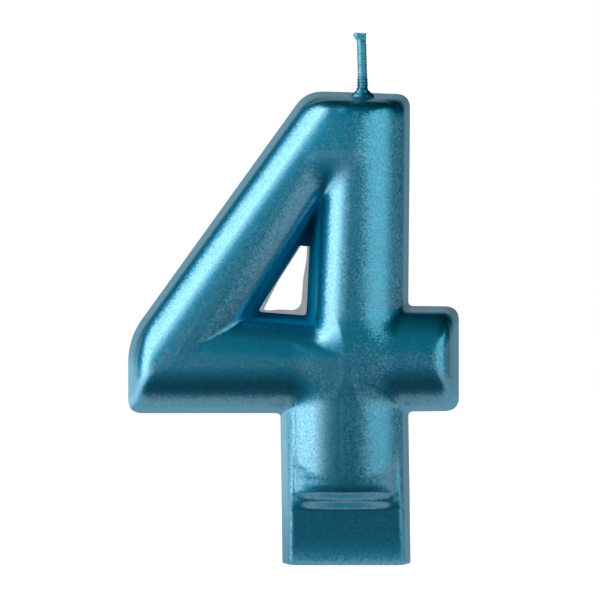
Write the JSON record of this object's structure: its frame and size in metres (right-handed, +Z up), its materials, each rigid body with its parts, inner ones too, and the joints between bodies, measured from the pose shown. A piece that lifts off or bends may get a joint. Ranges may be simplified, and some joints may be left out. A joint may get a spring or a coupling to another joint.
{
  "type": "number birthday candle",
  "caption": "Moulded wax numeral four with a pillowed front, flat back, open counter, stepped foot, metallic skin and a short wick on top.",
  "frame": {"origin": "centre of the foot's flat underside", "axes": "+Z up through the stem to the wick, -Y out of the moulded front, +X to the right seen from the front"},
  "size_m": [0.0515, 0.012, 0.0824],
  "materials": {
    "white_wax": "satin paraffin wax, bare",
    "metallic_lacquer": "satin metallic teal lacquer with fine flake",
    "collar_wax": "lacquered wax fillet",
    "wick_wax": "lacquered primed wax",
    "cotton": "waxed cotton, painted"
  },
  "bodies": {
    "root": {"wax_body": "white_wax", "metallic_coat": "metallic_lacquer", "wick_collar": "collar_wax", "wick_sheath": "wick_wax", "wick_tip_bead": "wick_wax", "wick_ply_1": "cotton", "wick_ply_2": "cotton", "wick_ply_3": "cotton"}
  },
  "joints": []
}
